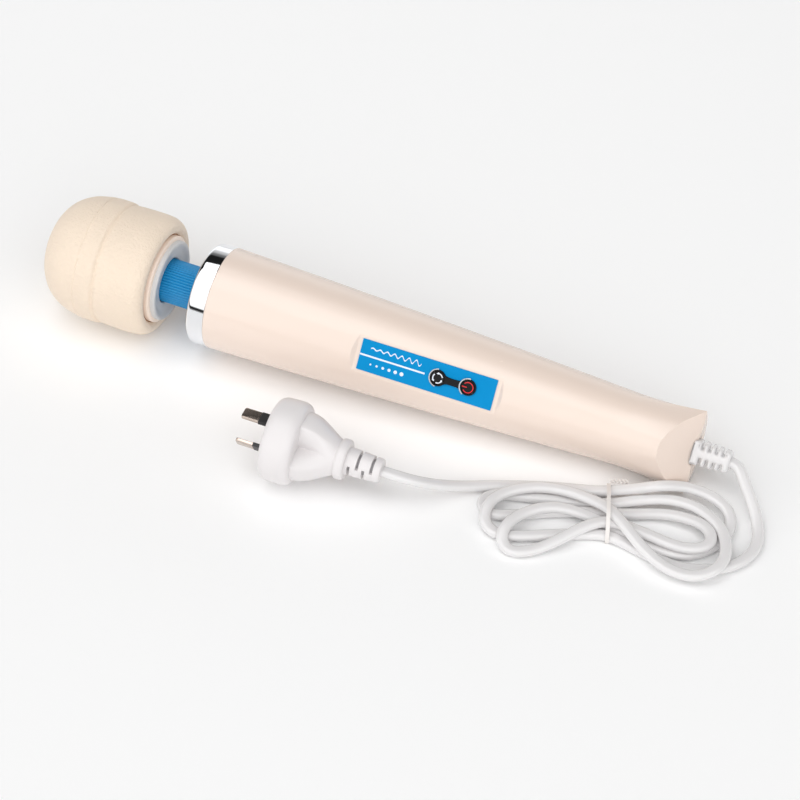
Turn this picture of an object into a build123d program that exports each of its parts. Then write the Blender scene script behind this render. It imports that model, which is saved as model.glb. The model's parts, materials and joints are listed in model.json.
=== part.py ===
"""Handheld wand massager: handle, flexible neck, soft head, and a tied mains lead with its plug.

Millimetres. The wand is drawn along its own axis first: X runs from the head (-X) to the tail
(+X) with 0 at the rear edge of the chrome ring, Z points out of the control panel and Y is the
width. place_wand then lays it on the surface z = 0. The plug is drawn along its own axis too.
The origin of the finished model is under the middle of the wand, on the surface.
"""

import os
from math import cos, radians, sin, tan

from build123d import *

# Where the wand lies: on the fat head and on the thin tail, rolled onto its side
RING_X, RING_Z = -72.5, 28.25
TILT, ROLL = 2.75, 56.5

# Handle
RING_LENGTH, RING_RADIUS = 9.5, 25.0
HANDLE_RADIUS, HANDLE_SLOPE, HANDLE_STEPS = 25.1, 0.0257, 6
WAIST_X, WAIST_RADIUS, TAIL_X = 206.0, 17.4, 238.4
WALL = 2.4
SPIGOT_RADIUS = 23.2
TAIL_HALF_WIDTH, TAIL_CORNER_Z = 20.2, 3.0
FACET_ANGLE = 40.4

# Control panel: a flat cut in the handle, with its own frame whose Z is the panel's normal
PANEL_X, PANEL_Z, PANEL_SLOPE = 111.0, 19.7, 2.28
LABEL_LENGTH, LABEL_WIDTH, LABEL_THICKNESS = 66.5, 15.0, 0.5
RECESS_LENGTH, PAD_DEPTH = 70.5, 3.1
MODE_X, POWER_X = 5.6, 20.5
BUTTON_RADIUS, BUTTON_GAP, LOBE_RADIUS, BRIDGE_WIDTH = 3.15, 0.1, 3.85, 3.1
BUTTON_TOP, SURROUND_TOP = 1.3, 1.2
BOARD_TOP, BOARD_THICKNESS = -7.9, 1.6
SWITCH_SIZE, SWITCH_HEIGHT = 6.0, 3.6

# Neck and drive
NECK_RADIUS, NECK_BORE = 10.8, 8.6
NECK_FRONT, NECK_REAR = -40.2, -2.8
SHAFT_RADIUS, SHAFT_FIT = 2.5, 0.05
MOTOR_FRONT, MOTOR_REAR, MOTOR_RADIUS, CAN_WALL = 14.0, 64.0, 18.5, 1.5
BEARING_RADIUS = 5.0

# Head: its parts are given in a frame that lies HEAD_X along the wand
HEAD_X = 2.5
HEAD_FRONT, HEAD_REAR, HEAD_RADIUS, HEAD_FULL_RADIUS = -94.0, -33.0, 30.0, 30.5
CORE_RADIUS, CORE_FRONT, CORE_REAR, CORE_SPLIT = 23.9, -86.0, -38.0, -64.0
COLLAR_RADIUS, COLLAR_FACE_RADIUS, COLLAR_FACE = 21.9, 20.0, -30.3
WEIGHT_RADIUS, WEIGHT_FRONT, WEIGHT_REAR = 15.0, -74.0, -54.0

# Screws: pairs or threes share a node
SHELL_SCREWS = [(80.0, 14.0), (80.0, -14.0), (160.0, 10.5), (160.0, -10.5), (196.0, 0.0)]
BOSS_RADIUS, SCREW_HOLE, SCREW_SHANK, SCREW_HEAD = 3.6, 1.6, 1.45, 2.8

# Strain relief and mains lead
RELIEF_LENGTH, RELIEF_WIDTH, RELIEF_DEPTH = 16.5, 11.7, 8.4
RELIEF_TIP_WIDTH, RELIEF_TIP_DEPTH = 9.8, 7.0
RELIEF_ROOT = 233.4
CORD_DIAMETER = 5.0
FLOOR_Z = 2.6

# Plug: two flat pins, its axis along X with the cord at +X, and 0 inside the flange
PLUG_PLACE, PLUG_YAW, PLUG_PITCH = (-8.4, -68.9, 20.3), 3.0, 4.5
FLANGE_RADIUS, FLANGE_FRONT, FLANGE_REAR = 20.0, -9.0, 6.8
PLUG_NECK_X, PLUG_RELIEF_X, PLUG_END_X = 25.5, 29.0, 46.0
PIN_LENGTH, PIN_WIDTH, PIN_THICKNESS, PIN_SPACING = 14.8, 6.35, 1.6, 13.7
PIN_LINE_ANGLE, PIN_LEAN, PIN_SLEEVE_LENGTH = 57.0, 30.0, 6.4

# Hank, tied at its waist
HANK_ANGLE, HANK_HEIGHT = 18.0, 12.0
HANK_WAIST, TIE_THICKNESS, TIE_WIDTH, TIE_SPAN = (137.0, -42.0), 1.0, 2.4, 31.0
WIDE_LOBE_CENTRE, WIDE_LOBE_RADII = (167.5, -40.5), (30.0, 23.5)
NARROW_LOBE_CENTRE, NARROW_LOBE_RADII, NARROW_LOBE_ANGLE = (106.5, -56.0), (29.0, 19.5), 22.0


# ---------------------------------------------------------------- helpers

def turned(points):
    """A solid turned about the X axis from (x, radius) points."""
    return revolve(make_face(Polyline(*points, close=True)), axis=Axis.X)


def tube(x0, x1, outer, inner=0.0):
    """A plain ring or rod along X."""
    return turned([(x0, inner), (x1, inner), (x1, outer), (x0, outer)])


def block(x0, x1, y0, y1, z0, z1):
    """A box between two corners."""
    return Pos((x0 + x1) / 2, (y0 + y1) / 2, (z0 + z1) / 2) * Box(x1 - x0, y1 - y0, z1 - z0)


def post(x, y, z0, z1, radius):
    """A round post along Z."""
    return Pos(x, y, (z0 + z1) / 2) * Cylinder(radius, z1 - z0)


def across(x):
    """The plane across the axis at x, with its own x along Y and its own y along Z."""
    return Plane(origin=(x, 0, 0), x_dir=(0, 1, 0), z_dir=(1, 0, 0))


def joined(parts):
    """Several separate solids kept in one node."""
    return Compound([solid for part in parts for solid in part.solids()])


def route_radii(points):
    """The largest arcs that a cord's straight runs allow, one for each corner."""
    radii = []
    for a, b, c in zip(points, points[1:], points[2:]):
        first = Vector(*b) - Vector(*a)
        second = Vector(*c) - Vector(*b)
        turn = radians(first.get_angle(second))
        radii.append(0.45 * min(first.length, second.length) / tan(turn / 2))
    return radii


def cord_tube(name, points, diameter):
    """A round tube along straight runs joined by tangent arcs."""
    radii = route_radii(points)
    path = FilletPolyline(*points, radius=radii)
    start = Plane(origin=path @ 0, z_dir=path % 0)
    solid = sweep(start * Circle(diameter / 2), path=path)
    expected = 3.14159 * diameter**2 / 4 * path.length
    print(name, "length", round(path.length, 1), "radii", [round(r) for r in radii])
    print("   volume over section times length:", round(solid.volume / expected, 4))
    return solid


# ---------------------------------------------------------------- handle shells

def tail_section(x, blend, scale):
    """One section of the fishtail: a circle at blend 0, a rounded rhombus at blend 1."""
    angles = {"side": 8.5, "flank": 36, "nose": 66, "front": 90}
    rhombus = {
        "side": (TAIL_HALF_WIDTH, TAIL_CORNER_Z),
        "flank": (14.4, 13.2),
        "nose": (6.0, 21.5),
        "front": (0.0, 23.4),
        "back": (0.0, -13.5),
    }
    point = {}
    for name, (y, z) in rhombus.items():
        angle = radians(angles.get(name, -90))
        round_y, round_z = WAIST_RADIUS * cos(angle), WAIST_RADIUS * sin(angle)
        point[name] = (
            scale * (round_y + (y - round_y) * blend),
            scale * (round_z + (z - round_z) * blend),
        )
    mirror = {name: (-y, z) for name, (y, z) in point.items()}
    edges = [
        ThreePointArc(mirror["side"], point["back"], point["side"]),
        ThreePointArc(point["side"], point["flank"], point["nose"]),
        ThreePointArc(point["nose"], point["front"], mirror["nose"]),
        ThreePointArc(mirror["nose"], mirror["flank"], mirror["side"]),
    ]
    return across(x) * make_face(edges)


def handle_radius(x):
    """The handle narrows from the ring to the waist, a little faster as it goes."""
    curve = (HANDLE_RADIUS - WAIST_RADIUS - HANDLE_SLOPE * WAIST_X) / WAIST_X**2
    return HANDLE_RADIUS - HANDLE_SLOPE * x - curve * x**2


def handle_solid(wall, front):
    """The handle as a full solid, taken in by a wall thickness."""
    scale = (WAIST_RADIUS - wall) / WAIST_RADIUS
    lengths = [front + (WAIST_X - front) * i / HANDLE_STEPS for i in range(HANDLE_STEPS + 1)]
    outline = [(x, handle_radius(x) - wall) for x in lengths]
    barrel = turned([(front, 0), *outline, (WAIST_X, 0)])
    steps = [(WAIST_X, 0.0), (217.0, 0.2), (228.0, 0.62), (TAIL_X, 1.0)]
    tail = loft([tail_section(x, blend, scale) for x, blend in steps])
    facet = Pos(TAIL_X - wall, 0, TAIL_CORNER_Z) * Rot(0, -FACET_ANGLE, 0) * Pos(40, 0, 0) * Box(80, 90, 120)
    end = block(TAIL_X - wall, TAIL_X + 20, -40, 40, -40, 40)
    return barrel + tail - facet - end


def panel(shape):
    """Puts a shape from the control panel's frame into the wand's frame."""
    return Pos(PANEL_X, 0, PANEL_Z) * Rot(0, PANEL_SLOPE, 0) * shape


def dumbbell(grow, z0, z1):
    """The two round lobes round the buttons and the bridge between them."""
    lobes = [Pos(x, 0) * Circle(LOBE_RADIUS + grow) for x in (MODE_X, POWER_X)]
    bridge = Pos((MODE_X + POWER_X) / 2, 0) * Rectangle(POWER_X - MODE_X, BRIDGE_WIDTH + 2 * grow)
    return Pos(0, 0, z0) * extrude(lobes[0] + lobes[1] + bridge, z1 - z0)


def shells():
    """Both halves of the handle, split on the plane z = 0."""
    outer = handle_solid(0.0, 0.0) + tube(-RING_LENGTH + 1.5, 0, SPIGOT_RADIUS)
    inside = handle_solid(WALL, 3.0) + tube(-RING_LENGTH, 3.1, SPIGOT_RADIUS - WALL)
    neck_rib = tube(-2.6, -0.6, SPIGOT_RADIUS - WALL + 0.2, 8.0)
    for angle in (90, 210, 330):
        neck_rib -= Rot(angle, 0, 0) * Pos(-1.6, 0, 17.5) * Rot(0, 90, 0) * Cylinder(1.3, 4)
    relief_hole = block(
        RELIEF_ROOT, TAIL_X + 2, -RELIEF_WIDTH / 2 - 0.2, RELIEF_WIDTH / 2 + 0.2,
        -RELIEF_DEPTH / 2 - 0.2, RELIEF_DEPTH / 2 + 0.2,
    )
    wall = outer - inside + neck_rib - relief_hole
    front = wall & block(-20, 260, -40, 40, 0, 40)
    rear = wall & block(-20, 260, -40, 40, -40, 0)

    pad = block(-RECESS_LENGTH / 2 - 2, RECESS_LENGTH / 2 + 2, -9.2, 9.2, -PAD_DEPTH, 0.5)
    front += panel(pad) & outer
    recess = block(-RECESS_LENGTH / 2, RECESS_LENGTH / 2, -15, 15, 0, 10)
    front -= panel(recess)
    front -= panel(dumbbell(0.1, -6, 3))
    for x in (-30, 33):
        front += panel(post(x, 0, BOARD_TOP, -PAD_DEPTH + 0.2, 2.2) - post(x, 0, BOARD_TOP - 1, -4.5, 0.9))

    for x, y in SHELL_SCREWS:
        front += (post(x, y, 0, 22, BOSS_RADIUS) & outer) - post(x, y, -1, 9, SCREW_HOLE)
        rear += post(x, y, -22, 0, BOSS_RADIUS) & outer
        rear -= post(x, y, -9, 1, SCREW_HOLE)
        rear -= post(x, y, -30, -8, SCREW_HEAD + 0.2)
    for y in (-8, 8):
        rear += post(226, y, -14.5, 2, 2.6) & outer
        rear -= post(226, y, -6, 3, 1.1)
    return front, rear


def chrome_ring():
    """The ring's rounded front lip closes over the spigot."""
    front, lip = -RING_LENGTH, 2.0
    corner = lip * (1 - cos(radians(45)))
    outline = [
        Line((front, 17), (front, RING_RADIUS - lip)),
        ThreePointArc(
            (front, RING_RADIUS - lip),
            (front + corner, RING_RADIUS - corner),
            (front + lip, RING_RADIUS),
        ),
        Line((front + lip, RING_RADIUS), (0, RING_RADIUS)),
        Line((0, RING_RADIUS), (0, SPIGOT_RADIUS + 0.1)),
        Line((0, SPIGOT_RADIUS + 0.1), (front + 1.4, SPIGOT_RADIUS + 0.1)),
        Line((front + 1.4, SPIGOT_RADIUS + 0.1), (front + 1.4, 17)),
        Line((front + 1.4, 17), (front, 17)),
    ]
    return revolve(make_face(outline), axis=Axis.X)


def shell_screw(x, y):
    return post(x, y, -10, -8, SCREW_HEAD) + post(x, y, -8, 8, SCREW_SHANK)


# ---------------------------------------------------------------- control panel

def switch_surround():
    plate = dumbbell(0, LABEL_THICKNESS, SURROUND_TOP) + dumbbell(0, -2.2, LABEL_THICKNESS)
    for x in (MODE_X, POWER_X):
        plate -= post(x, 0, -5, 5, BUTTON_RADIUS + BUTTON_GAP)
    return plate


def button_rims():
    """A thin bright ring round each lobe, open where the bridge crosses it."""
    rims = []
    for x in (MODE_X, POWER_X):
        ring = post(x, 0, LABEL_THICKNESS, 1.0, LOBE_RADIUS + 0.7)
        rims.append(panel(ring - dumbbell(0.05, 0, 3)))
    return joined(rims)


def button(x):
    """A round cap with its stem."""
    return post(x, 0, -1.5, BUTTON_TOP, BUTTON_RADIUS) + post(x, 0, -3.2, -1.5, 1.3)


def tact_switch(x):
    top, half = BOARD_TOP + SWITCH_HEIGHT, SWITCH_SIZE / 2
    return block(x - half, x + half, -half, half, BOARD_TOP, top) - post(x, 0, top - 1.9, top + 1, 1.8)


def plunger(x):
    return post(x, 0, BOARD_TOP + SWITCH_HEIGHT - 1.1, -3.2, 1.5)


def control_board():
    low = BOARD_TOP - BOARD_THICKNESS
    board = block(-36, 38, -7.5, 7.5, low, BOARD_TOP)
    for x in (-30, 33):
        board -= post(x, 0, low - 1, BOARD_TOP + 1, 1.2)
    return board


def board_components():
    low = BOARD_TOP - BOARD_THICKNESS
    transformer = block(-24, -12, -5, 5, low - 7, low)
    capacitor = Pos(-3, 0, low - 4) * Rot(0, 90, 0) * Cylinder(4, 10)
    driver = block(8, 16, -3, 3, low - 2.4, low)
    fuse = block(21, 28, -1.6, 1.6, low - 3, low)
    return joined(panel(part) for part in (transformer, capacitor, driver, fuse))


def board_screw(x):
    low = BOARD_TOP - BOARD_THICKNESS
    return post(x, 0, low - 1.4, low, 2.0) + post(x, 0, low, -5, 0.85)


# ---------------------------------------------------------------- neck, motor and drive

def neck_clamp():
    plate = tube(-RING_LENGTH + 1.6, -4.9, SPIGOT_RADIUS - WALL - 0.2, NECK_RADIUS + 0.3)
    for angle in (90, 210, 330):
        plate -= Rot(angle, 0, 0) * Pos(-6, 0, 17.5) * Rot(0, 90, 0) * Cylinder(1.4, 8)
    return plate


def neck_clamp_screw(angle):
    """Drawn in the gap behind the ring's lip, through the clamp and into the rib."""
    shank = Pos(-4.1, 0, 17.5) * Rot(0, 90, 0) * Cylinder(1.25, 5.0)
    head = Pos(-7.25, 0, 17.5) * Rot(0, 90, 0) * Cylinder(1.3, 1.3)
    return Rot(angle, 0, 0) * (shank + head)


def neck_sleeve():
    """The flexible tube with a flange at each end."""
    return (
        tube(HEAD_X + NECK_FRONT, NECK_REAR, NECK_RADIUS, NECK_BORE)
        + tube(HEAD_X + NECK_FRONT, HEAD_X + NECK_FRONT + 2.0, 13.8, NECK_BORE)
        + tube(NECK_REAR - 2.0, NECK_REAR, 14.5, NECK_BORE)
    )


def flex_coupling():
    """A grooved rubber hose between the motor shaft and the eccentric shaft."""
    coupling = tube(HEAD_X - 40, 6, 5.0, SHAFT_RADIUS + SHAFT_FIT)
    for i in range(8):
        x = HEAD_X - 29 + 3.4 * i
        coupling -= tube(x, x + 1.6, 5.5, 3.9)
    return coupling


def motor_can():
    can = tube(MOTOR_FRONT, MOTOR_REAR, MOTOR_RADIUS, MOTOR_RADIUS - CAN_WALL)
    return can + tube(MOTOR_FRONT, MOTOR_FRONT + 3, MOTOR_RADIUS, BEARING_RADIUS)


def motor_end_cap():
    cap = tube(MOTOR_REAR - 3.2, MOTOR_REAR, MOTOR_RADIUS - CAN_WALL - 0.05, BEARING_RADIUS)
    for y in (-1, 1):
        holder = block(MOTOR_REAR - 8.4, MOTOR_REAR - 3.2, 9, 13, -3, 3)
        cap += holder if y > 0 else mirror(holder, Plane.XZ)
    return cap


def carbon_brushes():
    brush = block(MOTOR_REAR - 7.8, MOTOR_REAR - 4.4, 5.1, 9, -2, 2)
    return joined([brush, mirror(brush, Plane.XZ)])


def motor_magnets():
    ring = tube(22, 54, MOTOR_RADIUS - CAN_WALL - 0.05, 14)
    return joined([ring & block(20, 60, 4, 20, -20, 20), ring & block(20, 60, -20, -4, -20, 20)])


def rotor_core():
    core = tube(25, 51, 13.5, SHAFT_RADIUS)
    for i in range(5):
        core -= Rot(72 * i, 0, 0) * block(24, 52, -1.2, 1.2, 6, 15)
    return core


def rotor_windings():
    return joined([tube(20.5, 25, 11, 5.5), tube(51, 54.5, 11, 5.5)])


def bearing(x0, x1, outer):
    return tube(x0, x1, outer, SHAFT_RADIUS + SHAFT_FIT)


# ---------------------------------------------------------------- head

def core_outline(grow):
    """The core narrows under the dome."""
    return [
        (CORE_FRONT - grow, 0), (CORE_FRONT - grow, 14), (-76 - grow, CORE_RADIUS + grow),
        (CORE_REAR, CORE_RADIUS + grow), (CORE_REAR, 0),
    ]


def head_cover():
    """The soft cover: straight rear part, a shallow seam, a fuller front and a domed end."""
    outline = [
        (HEAD_REAR, 0), (HEAD_REAR, 24.5), (-34.6, 28.4), (-38.5, HEAD_RADIUS), (-57, HEAD_RADIUS),
        (-59, 29.7), (-61, HEAD_FULL_RADIUS), (-68.5, HEAD_FULL_RADIUS), (-72.5, 29.9), (-78, 28.4),
        (-83, 26.0), (-87.5, 22.2),
        (-90.8, 16.5), (-93.0, 9), (HEAD_FRONT, 3), (HEAD_FRONT, 0),
    ]
    cavity = turned(core_outline(0.1))
    mouth = tube(CORE_REAR - 0.1, HEAD_REAR + 1, COLLAR_RADIUS + 0.2)
    return turned(outline) - cavity - mouth


def head_core():
    """The stiff core in two halves, with seats for both bearings and room for the weight."""
    core = turned(core_outline(0))
    core -= tube(-77, -51, 17.5)
    core -= tube(-82.1, -77, 7.1)
    core -= tube(-84, -82.1, 4)
    core -= tube(-51, -45.9, 7.1)
    core -= tube(-45.9, CORE_REAR, 6.2)
    core -= tube(NECK_FRONT - 0.2, CORE_REAR, 14.2)
    for angle in (0, 120, 240):
        core -= Rot(angle, 0, 0) * Pos(-55, 0, 20.7) * Rot(0, 90, 0) * Cylinder(1.5, 34.4)
    front = core & block(-100, CORE_SPLIT, -40, 40, -40, 40)
    rear = core & block(CORE_SPLIT, 0, -40, 40, -40, 40)
    return front, rear


def core_screw(angle):
    return Rot(angle, 0, 0) * Pos(-55.1, 0, 20.7) * Rot(0, 90, 0) * Cylinder(1.4, 34)


def head_collar():
    collar = tube(CORE_REAR, -32.6, COLLAR_RADIUS, NECK_RADIUS + 0.2)
    return collar + tube(-32.6, COLLAR_FACE, COLLAR_FACE_RADIUS, NECK_RADIUS + 0.2)


def eccentric_weight():
    """A heavy half disc on the shaft: it shakes the head as it turns."""
    disc = tube(WEIGHT_FRONT, WEIGHT_REAR, WEIGHT_RADIUS) & block(-80, -50, -20, 20, -20, 3)
    hub = tube(WEIGHT_FRONT, WEIGHT_REAR, 5)
    return disc + hub - tube(-80, -50, SHAFT_RADIUS)


# ---------------------------------------------------------------- cord outlet

def relief_comb(x0, x1, base, tip, slots, pitch):
    """A tapered block with slots cut in from both sides, leaving a spine."""
    sections = [across(x) * RectangleRounded(w, d, 2.4) for x, (w, d) in ((x0, base), (x1, tip))]
    body = loft(sections)
    for i in range(slots):
        for side in (-1, 1):
            x = x0 + pitch * (i + 0.75) + (0 if side < 0 else pitch / 2 if slots < 4 else 0)
            body -= block(x, x + 1.3, *sorted((side * 2.0, side * 12)), -12, 12)
    return body


def strain_relief():
    comb = relief_comb(
        TAIL_X, TAIL_X + RELIEF_LENGTH, (RELIEF_WIDTH, RELIEF_DEPTH),
        (RELIEF_TIP_WIDTH, RELIEF_TIP_DEPTH), 4, 3.3,
    )
    half_width, half_depth = RELIEF_WIDTH / 2, RELIEF_DEPTH / 2
    root = block(RELIEF_ROOT, TAIL_X, -half_width, half_width, -half_depth, half_depth)
    flange = block(
        RELIEF_ROOT - 2.2, RELIEF_ROOT, -half_width - 1.5, half_width + 1.5,
        -half_depth - 1.5, half_depth + 1.5,
    )
    return comb + root + flange


def cord_clamp():
    bar = block(223, 229, -11, 11, 2, 5)
    for y in (-8, 8):
        bar -= post(226, y, 0, 6, 1.3)
    return bar


def clamp_screw(y):
    return post(226, y, 5, 6.6, 2.3) + post(226, y, -5, 5, 1.05)


# ---------------------------------------------------------------- plug

def plug_body():
    """A round flange and a waisted grip that ends in a small collar."""
    outline = [
        Line((FLANGE_FRONT, 0), (FLANGE_FRONT, FLANGE_RADIUS - 2.5)),
        ThreePointArc(
            (FLANGE_FRONT, FLANGE_RADIUS - 2.5),
            (FLANGE_FRONT + 0.73, FLANGE_RADIUS - 0.73),
            (FLANGE_FRONT + 2.5, FLANGE_RADIUS),
        ),
        Line((FLANGE_FRONT + 2.5, FLANGE_RADIUS), (FLANGE_REAR - 3, FLANGE_RADIUS)),
        ThreePointArc((FLANGE_REAR - 3, FLANGE_RADIUS), (FLANGE_REAR - 0.9, 19.1), (FLANGE_REAR, 17)),
        Line((FLANGE_REAR, 17), (FLANGE_REAR, 15.3)),
        Line((FLANGE_REAR, 15.3), (16, 12)),
        Line((16, 12), (PLUG_NECK_X, 7.6)),
        Line((PLUG_NECK_X, 7.6), (PLUG_NECK_X, 9.7)),
        Line((PLUG_NECK_X, 9.7), (PLUG_RELIEF_X, 9.7)),
        Line((PLUG_RELIEF_X, 9.7), (PLUG_RELIEF_X, 0)),
        Line((PLUG_RELIEF_X, 0), (FLANGE_FRONT, 0)),
    ]
    return revolve(make_face(outline), axis=Axis.X)


def on_pin(shape, side):
    """Puts a shape on one of the two pins, which lean towards each other."""
    turn = PIN_LINE_ANGLE + 90 + side * PIN_LEAN
    line = radians(PIN_LINE_ANGLE)
    half = side * PIN_SPACING / 2
    return Pos(FLANGE_FRONT, half * cos(line), half * sin(line)) * Rot(turn, 0, 0) * shape


def plug_pin():
    return Pos(-PIN_LENGTH / 2, 0, 0) * Box(PIN_LENGTH, PIN_WIDTH, PIN_THICKNESS)


def pin_sleeve():
    tall = Box(PIN_SLEEVE_LENGTH, PIN_WIDTH + 0.4, PIN_THICKNESS + 0.4)
    return Pos(-PIN_SLEEVE_LENGTH / 2, 0, 0) * tall - plug_pin()


# ---------------------------------------------------------------- where things lie

def place_wand(shape):
    return Pos(RING_X, 0, RING_Z) * Rot(0, TILT, 0) * Rot(ROLL, 0, 0) * shape


def place_plug(shape):
    return Pos(*PLUG_PLACE) * Rot(0, 0, PLUG_YAW) * Rot(0, PLUG_PITCH, 0) * shape


def wand_point(x):
    """A point on the wand's axis, in the finished model's frame."""
    return (RING_X + x * cos(radians(TILT)), 0.0, RING_Z - x * sin(radians(TILT)))


def plug_point(x):
    """A point on the plug's axis, in the finished model's frame."""
    flat = x * cos(radians(PLUG_PITCH))
    x0, y0, z0 = PLUG_PLACE
    yaw = radians(PLUG_YAW)
    return (x0 + flat * cos(yaw), y0 + flat * sin(yaw), z0 - x * sin(radians(PLUG_PITCH)))


def in_hank(shape):
    return Pos(HANK_WAIST[0], HANK_WAIST[1], 0) * Rot(0, 0, HANK_ANGLE) * shape


def hank_and_tie():
    """The tied hank as one flat solid with a wide lobe, a waist and a narrow lobe."""
    wide = Pos(*WIDE_LOBE_CENTRE) * Ellipse(*WIDE_LOBE_RADII)
    narrow = Pos(*NARROW_LOBE_CENTRE) * Rot(0, 0, NARROW_LOBE_ANGLE) * Ellipse(*NARROW_LOBE_RADII)
    outline = wide + narrow + in_hank(Rectangle(36, TIE_SPAN - 2 * TIE_THICKNESS))
    top = HANK_HEIGHT + TIE_THICKNESS
    tie = in_hank(block(-TIE_WIDTH / 2, TIE_WIDTH / 2, -TIE_SPAN / 2, TIE_SPAN / 2, 0, top))
    hank = extrude(outline, HANK_HEIGHT) - tie
    core_half = TIE_SPAN / 2 - TIE_THICKNESS
    core = in_hank(block(-TIE_WIDTH / 2, TIE_WIDTH / 2, -core_half, core_half, TIE_THICKNESS, HANK_HEIGHT))
    return hank + core, tie - core


LEAD_ROUTE = [
    wand_point(TAIL_X + RELIEF_LENGTH),
    wand_point(TAIL_X + RELIEF_LENGTH + 11),
    (202.4, -4.9, 11.3),
    (206.8, -14.0, 5.3),
    (206.3, -29.4, FLOOR_Z),
    (204.2, -39.4, FLOOR_Z),
    (200.6, -47.6, FLOOR_Z),
    (195.8, -53.6, FLOOR_Z),
]

PLUG_ROUTE = [
    plug_point(PLUG_END_X),
    plug_point(PLUG_END_X + 9),
    (56.0, -62.4, 12.6),
    (67.6, -53.0, 5.8),
    (79.0, -45.0, FLOOR_Z),
    (88.0, -41.2, FLOOR_Z),
]


def wires(routes, diameter, name):
    tubes = [cord_tube(name, route, diameter) for route in routes]
    return joined(tubes)


# ---------------------------------------------------------------- all nodes

front_shell, rear_shell = shells()
head_core_front, head_core_rear = head_core()
cord_hank, cord_tie = hank_and_tie()

head_nodes = {
    "head_cover": head_cover(),
    "head_collar": head_collar(),
    "head_core_front": head_core_front,
    "head_core_rear": head_core_rear,
    "core_screws": joined(core_screw(angle) for angle in (0, 120, 240)),
    "head_bearing_front": bearing(-82, -78, 7.08),
    "head_bearing_rear": bearing(-50, -46, 7.08),
    "eccentric_shaft": tube(-83.5, -32, SHAFT_RADIUS),
    "eccentric_weight": eccentric_weight(),
}

wand_nodes = {
    "front_shell": front_shell,
    "rear_shell": rear_shell,
    "shell_screws": joined(shell_screw(x, y) for x, y in SHELL_SCREWS),
    "chrome_ring": chrome_ring(),
    "control_label": panel(
        block(-LABEL_LENGTH / 2, LABEL_LENGTH / 2, -LABEL_WIDTH / 2, LABEL_WIDTH / 2, 0, LABEL_THICKNESS)
        - dumbbell(0.05, -1, 3)
    ),
    "switch_surround": panel(switch_surround()),
    "button_rims": button_rims(),
    "mode_button": panel(button(MODE_X)),
    "power_button": panel(button(POWER_X)),
    "mode_plunger": panel(plunger(MODE_X)),
    "power_plunger": panel(plunger(POWER_X)),
    "mode_switch": panel(tact_switch(MODE_X)),
    "power_switch": panel(tact_switch(POWER_X)),
    "control_board": panel(control_board()),
    "board_components": board_components(),
    "board_screws": joined(panel(board_screw(x)) for x in (-30, 33)),
    "neck_clamp": neck_clamp(),
    "neck_clamp_screws": joined(neck_clamp_screw(angle) for angle in (90, 210, 330)),
    "neck_sleeve": neck_sleeve(),
    "flex_coupling": flex_coupling(),
    "motor_can": motor_can(),
    "motor_end_cap": motor_end_cap(),
    "motor_magnets": motor_magnets(),
    "carbon_brushes": carbon_brushes(),
    "motor_bearing_front": bearing(MOTOR_FRONT, MOTOR_FRONT + 3, BEARING_RADIUS - 0.02),
    "motor_bearing_rear": bearing(MOTOR_REAR - 3.2, MOTOR_REAR, BEARING_RADIUS - 0.02),
    "motor_mount_front": tube(16, 22, 21.9, MOTOR_RADIUS + 0.05),
    "motor_mount_rear": tube(56, 62, 20.7, MOTOR_RADIUS + 0.05),
    "motor_shaft": tube(-2, 66, SHAFT_RADIUS),
    "rotor_core": rotor_core(),
    "rotor_windings": rotor_windings(),
    "commutator": tube(55, 60.4, 5.0, SHAFT_RADIUS),
    "strain_relief": strain_relief(),
    "cord_clamp": cord_clamp(),
    "clamp_screws": joined(clamp_screw(y) for y in (-8, 8)),
    "internal_cord": tube(212, RELIEF_ROOT - 2.2, 1.95),
    "mains_wires": wires(
        [[(211.4, 1.2 * y, 0), (204, 4.5 * y, 0.8), (192, 6.2 * y, 2.5), (176, 5 * y, 6), (160, 3.5 * y, 8.6),
          (150.2, 2 * y, 9.6)] for y in (-1, 1)],
        1.4, "mains wire",
    ),
    "motor_wires": wires(
        [[(64.9, y, 4), (68, 0.8 * y, 7), (71, 0.6 * y, 10.2), (73.6, 0.5 * y, 12)] for y in (-9, 9)],
        1.2, "motor wire",
    ),
}

plug_nodes = {
    "plug_body": plug_body(),
    "plug_relief": relief_comb(PLUG_RELIEF_X, PLUG_END_X, (13.2, 10.4), (11.2, 9.0), 3, 4.6),
    "plug_pins": joined(on_pin(plug_pin(), side) for side in (-1, 1)),
    "pin_sleeves": joined(on_pin(pin_sleeve(), side) for side in (-1, 1)),
}

wand_nodes |= {name: Pos(HEAD_X, 0, 0) * shape for name, shape in head_nodes.items()}
nodes = {name: place_wand(shape) for name, shape in wand_nodes.items()}
nodes |= {name: place_plug(shape) for name, shape in plug_nodes.items()}
nodes["cord_hank"] = cord_hank
nodes["cord_tie"] = cord_tie
nodes["cord_lead"] = cord_tube("lead", LEAD_ROUTE, CORD_DIAMETER)
nodes["cord_plug_lead"] = cord_tube("plug lead", PLUG_ROUTE, CORD_DIAMETER)

os.makedirs("parts", exist_ok=True)
for name, shape in nodes.items():
    export_step(shape, f"parts/{name}.step")
    box = shape.bounding_box()
    if name in ("head_cover", "rear_shell", "front_shell", "plug_body", "plug_relief"):
        print(name, [round(v, 2) for v in (*box.min, *box.max)])
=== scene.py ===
"""The looks of the handheld wand massager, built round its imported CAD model.

Shapes on the wand are written in millimetres in the wand's own frame: x along the axis from the
chrome ring's rear edge towards the tail, y across, z out of the control panel. Shapes on the plug
have their own frame too, with x from the middle of the flange towards the cord.
"""

import json
import math

import bmesh
import bpy
from mathutils import Matrix, Vector


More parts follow.
